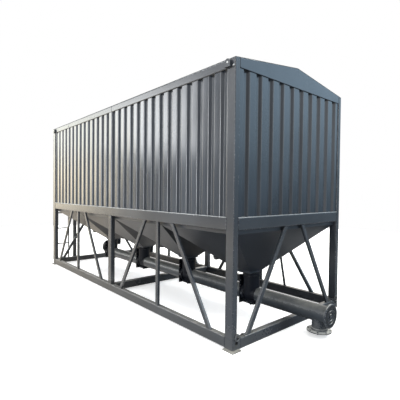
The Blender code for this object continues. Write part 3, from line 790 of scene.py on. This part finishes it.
for dx in (-0.104, -0.038):
    for dz in (-0.022, 0.044):
        bolt(drive_bolts, (face + dx, 0.216, axle + dz), (0, 1, 0), 0.005)
keep(drive_bolts, "drive_unit_bolts", "drive_paint", finish=BOLT)
print("drive stands", [round(v, 3) for v in high - low])

# %% [markdown]
# ## Vibrators on the hoppers
# Cement sticks to a slope, so a small vibrator motor is bolted to a pad on each
# hopper. One shows under the edge of the first hopper and one beside the last. The
# slope's direction is measured on the hopper itself, and the motor is laid on it.

# %% Vibrator motors
UP_THE_SLOPE, OFF_MIDDLE = 0.30, 0.285
motors = bmesh.new()
motor_bolts = bmesh.new()
for mouth, low, high in hoppers:
    foot = Vector((mouth - OUTLET, 0.0, low.z + 0.020))
    head = Vector((low.x, 0.0, high.z - 0.065))
    along = (head - foot).normalized()
    out = along.cross(Vector((0.0, 1.0, 0.0))).normalized()
    if out.z > 0.0:
        out = -out
    seat = foot + along * UP_THE_SLOPE - Vector((0.0, OFF_MIDDLE, 0.0))
    lay = Matrix((
        (along.x, 0.0, out.x, seat.x), (along.y, 1.0, out.y, seat.y),
        (along.z, 0.0, out.z, seat.z), (0.0, 0.0, 0.0, 1.0)))
    parts = block(motors, (-0.075, -0.075, -0.002), (0.075, 0.075, 0.008), 0.002)
    parts += block(motors, (-0.045, -0.060, 0.006), (0.045, 0.060, 0.030), 0.004)
    parts += drum(motors, "y", (0.0, 0.062), 0.044, -0.085, 0.085, 32, 0.006)
    for y in (-0.060, 0.048):
        parts += drum(motors, "y", (0.0, 0.062), 0.048, y, y + 0.012, 32)
    parts += block(motors, (-0.025, -0.030, 0.098), (0.025, 0.030, 0.122), 0.004)
    bmesh.ops.transform(motors, matrix=lay, verts=list(set(parts)))
    for a in (-0.060, 0.060):
        for b in (-0.062, 0.062):
            bolt(motor_bolts, lay @ Vector((a, b, 0.008)), out, 0.008)
keep(motors, "hopper_vibrators", "drive_paint")
keep(motor_bolts, "hopper_vibrator_bolts", "drive_paint", finish=BOLT)
print("vibrators", len(hoppers))

# %% [markdown]
# ## Filling pipe and ladder
# The filling pipe is a guess from a dark upright band at the far end, so it stays
# a plain pipe: a hose coupling with two locking ears at its foot, and a flange
# where it bends into the gable. The ladder's bars are the engineering model's own,
# with softened edges and a bolt at every bracket.

# %% Filling pipe
COUPLING = 0.0555  # radius of the hose coupling
low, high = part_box("fill_pipe")
keep(engineering_copy("fill_pipe"), "fill_pipe_body", "frame_paint", ("fill_pipe",), crease=32.0)
pipe_x = low.x + COUPLING
pipe_y = (low.y + high.y) / 2.0
fittings = bmesh.new()
for side in (-1.0, 1.0):
    ear = sorted((pipe_y + side * 0.058, pipe_y + side * 0.072))
    block(fittings, (pipe_x - 0.010, ear[0], low.z + 0.022),
          (pipe_x + 0.010, ear[1], low.z + 0.050), 0.004)
drum(fittings, "z", (pipe_x, pipe_y), 0.049, low.z + 0.0005, low.z + 0.010, 40, 0.003)
drum(fittings, "z", (pipe_x, pipe_y), 0.0475, low.z + 0.075, low.z + 0.083, 40, 0.003)
keep(fittings, "fill_pipe_coupling_ears", "frame_paint")
pipe_bolts = bmesh.new()
frame_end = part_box("drive_gable_plate")[0].x
ring_of_bolts(pipe_bolts, (frame_end - 0.007, pipe_y, 3.270), (-1, 0, 0), 0.0535, 6, 0.005)
keep(pipe_bolts, "fill_pipe_flange_bolts", "frame_paint", finish=BOLT)
print("filling pipe at y", round(pipe_y, 3))

# %% Ladder
low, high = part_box("ladder")
ladder = engineering_copy("ladder")
round_edges(ladder, 0.003, steps=2, least=60.0, length=0.2)
keep(ladder, "ladder_bars", "ladder_steel", ("ladder",))
ladder_bolts = bmesh.new()
for z in (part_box("drive_end_waist_rail")[0].z + 0.075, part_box("front_top_rail")[1].z - 0.19):
    for y in (low.y + 0.0125, high.y - 0.0125):
        bolt(ladder_bolts, (low.x, y, z), (-1, 0, 0), 0.0061)
keep(ladder_bolts, "ladder_bracket_bolts", "ladder_steel", finish=BOLT)
print("ladder from", round(low.z, 3), "to", round(high.z, 3))

# %% [markdown]
# ## Welds of the frame
# Every brace and post is welded to the rail above it and the sill below it. A bead
# is laid round each end, right at the joint. Each top rail also has two butt joints;
# the photo shows one as a thin line. The wall sheets aren't welded to the waist
# rails; along that joint a pale bead with long steps is a painted highlight, the bright line at
# each rail's top edge.

# %% Beads at the ends of braces and posts
frame_beads = bmesh.new()
joints = 0
for name in sorted(nodes):
    if not ("brace" in name or "quarter_post" in name or name.endswith("_mid_post")):
        continue
    copy = engineering_copy(name)
    low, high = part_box(name)
    for z, lift in ((low.z, 0.001), (high.z, -0.001)):
        ring = sorted((v.co.copy() for v in copy.verts if abs(v.co.z - z) < 0.001),
                      key=lambda p: (round(p.x, 4), p.y))
        if len(ring) != 4:
            continue
        for p in ring:
            p.z = z + lift
        for a, b in ((0, 1), (0, 2), (1, 3), (2, 3)):
            bead(frame_beads, ring[a], ring[b], 0.0045)
        joints += 1
    copy.free()
keep(frame_beads, "frame_weld_beads", "frame_paint", finish=BEAD)
print("welded ends", joints)

# %% Beads at the corner posts and the joints in the top rails
BLOCK_TOP = 0.1425  # where a corner post stands on its foot block
SIDE, INNER = 1.210, 1.132  # faces of a corner post, across the silo
POST_DEPTH = 0.118  # the same post, along the silo
RAIL_JOINTS = (MIDDLE + 0.052, MIDDLE - 2.02)
post_beads = bmesh.new()
for side in ("front", "back"):
    for part in ("_sill", "_waist_rail", "_top_rail"):
        low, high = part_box(side + part)
        face = low.y if side == "front" else high.y
        for x in (low.x, high.x):
            bead(post_beads, (x, face, low.z + 0.008), (x, face, high.z - 0.012))
    for x in RAIL_JOINTS:
        bead(post_beads, (x, face, low.z + 0.006), (x, face, high.z - 0.016), 0.0035)
for end, way in (("drive", -1.0), ("discharge", 1.0)):
    for part in ("_end_waist_rail", "_end_sill"):
        low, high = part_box(end + part)
        face = low.x if end == "drive" else high.x
        for y in (low.y, high.y):
            bead(post_beads, (face, y, low.z + 0.008), (face, y, high.z - 0.008))
    for side in (-1.0, 1.0):
        corner = (face, side * SIDE, BLOCK_TOP)
        bead(post_beads, (face - way * POST_DEPTH, side * SIDE, BLOCK_TOP), corner, 0.005)
        bead(post_beads, corner, (face, side * INNER, BLOCK_TOP), 0.005)
keep(post_beads, "corner_weld_beads", "frame_paint", finish=BEAD)
print("corner joints at z", BLOCK_TOP)

# %% Painted highlight where the wall sheets stand on the waist rails
highlight_strip = bmesh.new()
for side, wall, axis in (("front", "front_wall", 1), ("back", "back_wall", 1),
                         ("drive_end", "drive_end_wall", 0),
                         ("discharge_end", "discharge_end_wall", 0)):
    rail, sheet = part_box(side + "_waist_rail"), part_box(wall)
    outer = 0 if side in ("front", "drive_end") else 1
    start, end = rail[0].copy(), rail[1].copy()
    for point, inset in ((start, 0.004), (end, -0.004)):
        point[1 - axis] += inset
        point[axis] = (rail[outer][axis] + sheet[outer][axis]) / 2.0
        point.z = rail[1].z + 0.001
    bead(highlight_strip, start, end, 0.005, 0.060)
    print(side, "sealant from", [round(v, 3) for v in start])
keep(highlight_strip, "waist_rail_painted_highlight", "frame_paint", finish=RAIL_TOP_HIGHLIGHT)

# %% [markdown]
# ## Lashing rings and lug pins
# At the near foot and behind the end of the conveyor the photo shows small bright
# lumps on the corner blocks: eyes and rings to lash the silo down on the road. A
# half ring stands on each end sill and a whole ring hangs from a staple on each
# block, all spun from one small circle. A bright pin sits in each lug at the top.

# %% Lashing eyes, hanging rings and lug pins
def bar_ring(bm, matrix, radius, bar, whole=False):
    """A half or whole ring of round bar, lying flat before matrix turns it."""
    eye = bmesh.new()
    ring = bmesh.ops.create_circle(eye, cap_ends=not whole, segments=12, radius=bar)["verts"]
    bmesh.ops.rotate(eye, cent=(0, 0, 0), matrix=Matrix.Rotation(math.radians(90.0), 3, "X"),
                     verts=ring)
    bmesh.ops.translate(eye, vec=(radius, 0.0, 0.0), verts=ring)
    bmesh.ops.spin(eye, geom=eye.faces[:] + eye.edges[:] + eye.verts[:], cent=(0, 0, 0),
                   axis=(0, 0, 1), dvec=(0, 0, 0), angle=math.radians(360.0 if whole else 180.0),
                   steps=28 if whole else 14, use_merge=whole, use_normal_flip=False,
                   use_duplicate=False)
    lay_in(bm, eye, matrix)


PIN_INNER, PIN_OUTER = 1.2105, 1.2436  # ends of a pin in the eye of a lug
EYE_HEIGHT, ROOT_HEIGHT = 3.256, 3.213
eyes = bmesh.new()
pins = bmesh.new()
for end, sx in (("drive", -1.0), ("discharge", 1.0)):
    low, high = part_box(end + "_end_sill")
    face = high.x if sx > 0 else low.x
    for sy in (-1.0, 1.0):
        stand = Matrix.Translation((face - sx * 0.030, sy * (high.y - 0.075), high.z - 0.004))
        bar_ring(eyes, stand @ Matrix.Rotation(math.radians(90.0), 4, "X"), 0.026, 0.008)
        ring_y = sy * (high.y + 0.067)
        hang = Matrix.Translation((face + sx * 0.010, ring_y, 0.150))
        bar_ring(eyes, hang @ Matrix.Rotation(math.radians(90.0), 4, "Y"), 0.034, 0.0075,
                 whole=True)
        staple = sorted((face - sx * 0.0005, face + sx * 0.022))
        block(eyes, (staple[0], ring_y - 0.013, 0.172), (staple[1], ring_y + 0.013, 0.196))
        pin = sorted((sy * PIN_INNER, sy * PIN_OUTER))
        drum(pins, "y", (face - sx * 0.100, EYE_HEIGHT), 0.0145, pin[0], pin[1], 24)
        bolt(pins, (face - sx * 0.025, sy * 1.2102, ROOT_HEIGHT), (0.0, sy, 0.0), 0.014)
keep(eyes, "lashing_eyes", "ladder_steel")
keep(pins, "lug_pins", "ladder_steel", finish=PIN)
print("lashing eyes and rings", 8, "lug pins", 4)

# %% [markdown]
# ## Floor, sky and light
# The part stands on a plain pale floor, in a soft studio dome with one large key
# light in front and a faint panel that shines up under the hoppers, as bright
# ground does. Glossy enamel shows what surrounds it, so it is the pale and dark
# parts of the dome, and not the paint, that draw the columns in the ribs. A painted
# picture of the sky would do the same; a few soft steps of turn and height are
# easier to move one by one. The camera itself sees plain white; only the reflections
# see the floor, painted there with sunlit ground and shadow, and the dome, warmer on the left.

# %% Floor
FLOOR_RADIUS = 13.0
floor_bm = bmesh.new()
bmesh.ops.create_circle(floor_bm, cap_ends=True, segments=96, radius=FLOOR_RADIUS)
floor_mesh = bpy.data.meshes.new("studio_floor")
floor_bm.to_mesh(floor_mesh)
floor_bm.free()
floor = bpy.data.objects.new("studio_floor", floor_mesh)
bpy.context.scene.collection.objects.link(floor)
pale = bpy.data.materials.new("pale_floor")
pale.use_nodes = True
desk = Desk(pale.node_tree)
shader = pale.node_tree.nodes["Principled BSDF"]
by_eye = desk.node("ShaderNodeLightPath", out=0)
along, across = desk.axis(0), desk.axis(1)
# To reflections the floor has painted sun and shade: warm sunlit ground on the left fading to
# painted shade towards the discharge end, darker under the silo than beside it, and the painted
# shadow's edge closer to the silo on the front.
past_painted_shadow = desk.math("MAXIMUM", desk.math("ABSOLUTE", along) - 3.1,
                   desk.math("MAXIMUM", across - 1.1, -0.85 - across))
sun_and_shade_under_silo = desk.blend(desk.ramp(along, -2.8, 2.4), (0.42, 0.36, 0.29, 1.0), (0.07, 0.07, 0.075, 1.0))
sun_and_shade_beside_silo = desk.blend(desk.ramp(along, -2.6, 3.4), (0.64, 0.56, 0.45, 1.0),
                         (0.14, 0.15, 0.16, 1.0))
painted_sun_and_shade = desk.blend(desk.ramp(past_painted_shadow, -0.15, 0.25), sun_and_shade_under_silo, sun_and_shade_beside_silo)
desk.feed(shader.inputs["Base Color"], desk.blend(by_eye, painted_sun_and_shade, (0.88, 0.88, 0.88, 1.0)))
shader.inputs["Roughness"].default_value = 0.85
shader.inputs["Emission Color"].default_value = (1.0, 1.0, 1.0, 1.0)
desk.feed(shader.inputs["Emission Strength"], by_eye * 0.52)
floor_mesh.materials.append(pale)
print("floor radius", FLOOR_RADIUS)

# %% Soft studio dome
world = bpy.data.worlds.new("studio_dome")
bpy.context.scene.world = world
world.use_nodes = True
dome = Desk(world.node_tree)
look = dome.node("ShaderNodeTexCoord", out=0)
to_x, to_y, to_z = (dome.node("ShaderNodeSeparateXYZ", None, {0: look}, out=i) for i in range(3))
turn = dome.math("ARCTANGENT", to_x / to_y) * (180.0 / math.pi)
rise = dome.math("ARCSINE", to_z) * (180.0 / math.pi)


def between(value, low, low_full, high_full, high):
    """1 from low_full to high_full, fading to 0 at low and at high."""
    return dome.ramp(value, low, low_full) * dome.ramp(value, high_full, high, 1.0, 0.0)


# The sky in front and behind, and the light overhead.
toward_front = dome.ramp(to_y, 0.10, -0.10)
front_sky = dome.ramp(rise, -4.0, 22.0, 0.62, 0.80)
back_sky = dome.ramp(rise, -8.0, 19.0, 0.12, 1.42)
overhead = (front_sky * toward_front + back_sky * (1.0 - toward_front)
            + dome.ramp(rise, 25.0, 80.0, 0.0, 1.0))

# Darker strips, seen in the flats and the grooves of the front wall.
shade = between(turn, 16.0, 26.0, 44.0, 49.5) * dome.ramp(rise, 24.0, 34.0, 1.0, 0.0)
groove_dark = between(turn, -55.0, -48.0, -24.0, -16.0) * dome.ramp(rise, 20.0, 34.0, 1.0, 0.0)
strength = overhead * (1.0 - 0.35 * (shade * toward_front))
strength = strength * (1.0 - 0.38 * (groove_dark * toward_front))

# Bright parts: the panel and glow in the long wall, the line on each of its bends, the
# ends of the walls, and two small lights high up that draw the glints.
panel = between(turn, 47.5, 52.0, 61.0, 66.0) * between(rise, 4.5, 8.5, 13.0, 26.0)
side_glow = between(turn, 60.0, 67.0, 78.0, 86.0) * between(rise, -12.0, 5.0, 11.0, 24.0)
bend_light = between(turn, -13.0, -7.0, 5.0, 11.0) * between(rise, -8.0, -2.0, 10.0, 18.0)
end_fold = between(turn, -74.0, -64.0, -58.0, -50.0) * between(rise, -20.0, -8.0, 20.0, 30.0)
glint = between(turn, 60.0, 64.0, 72.0, 76.0) * between(rise, 36.0, 42.0, 50.0, 56.0)
far_glint = between(turn, 28.0, 32.0, 40.0, 44.0) * between(rise, 30.0, 36.0, 44.0, 50.0)
strength = strength + (6.0 * panel + 3.9 * side_glow) * (0.25 + 0.75 * toward_front)
strength = strength + (11.0 * bend_light + 0.45 * end_fold + 28.0 * glint) * toward_front
strength = strength + 28.0 * far_glint * (1.0 - toward_front)

# %% Colours of the dome
blue_part = dome.ramp(to_x, -0.15, 0.15) * dome.ramp(rise, 24.0, 42.0, 1.0, 0.0)
back_tint = dome.blend(blue_part, (1.04, 1.0, 0.93, 1.0), (0.70, 0.97, 1.21, 1.0))
tint = dome.blend(toward_front, back_tint, (0.97, 0.99, 1.01, 1.0))
low_sun = between(turn, 58.0, 66.0, 80.0, 88.0) * between(rise, -16.0, -8.0, 3.0, 14.0)
tint = dome.blend(low_sun * toward_front, tint, (1.06, 0.93, 0.70, 1.0))
tint = dome.blend(side_glow * dome.ramp(rise, 0.0, 10.0), tint, (0.97, 0.98, 0.88, 1.0))
by_eye = dome.node("ShaderNodeLightPath", out=0)
sky = world.node_tree.nodes["Background"]
dome.feed(sky.inputs["Color"], dome.blend(by_eye, tint, (1.0, 1.0, 1.0, 1.0)))
dome.feed(sky.inputs["Strength"], strength * (1.0 - by_eye) + by_eye)
print("dome nodes", len(world.node_tree.nodes))

# %% Two soft panels
def soft_panel(name, stand, target, wide, deep, watts, colour):
    """A soft light that shines on the part and isn't seen itself."""
    lamp = bpy.data.lights.new(name, "AREA")
    lamp.shape = "RECTANGLE"
    lamp.size, lamp.size_y = wide, deep
    lamp.energy = watts
    lamp.color = colour
    light = bpy.data.objects.new(name, lamp)
    bpy.context.scene.collection.objects.link(light)
    light.location = stand
    aim = Vector(target) - Vector(stand)
    light.rotation_euler = aim.to_track_quat("-Z", "Y").to_euler()
    light.visible_camera = False


soft_panel("soft_key", (-1.0, -9.0, 6.5), (0.0, 0.0, 1.5), 6.0, 6.0, 240.0, (1.0, 1.0, 1.0))
soft_panel("ground_bounce", (-1.15, -0.60, 0.20), (-1.15, -0.60, 1.0), 3.2, 2.4, 11.0,
           (1.0, 0.98, 0.96))
bpy.context.scene.view_settings.view_transform = "Standard"
print("lights", 2, "and the dome")

# %% Count the pieces and their faces
faces = sum(len(p.data.polygons) for p in made)
print("pieces", len(made), "faces", faces)
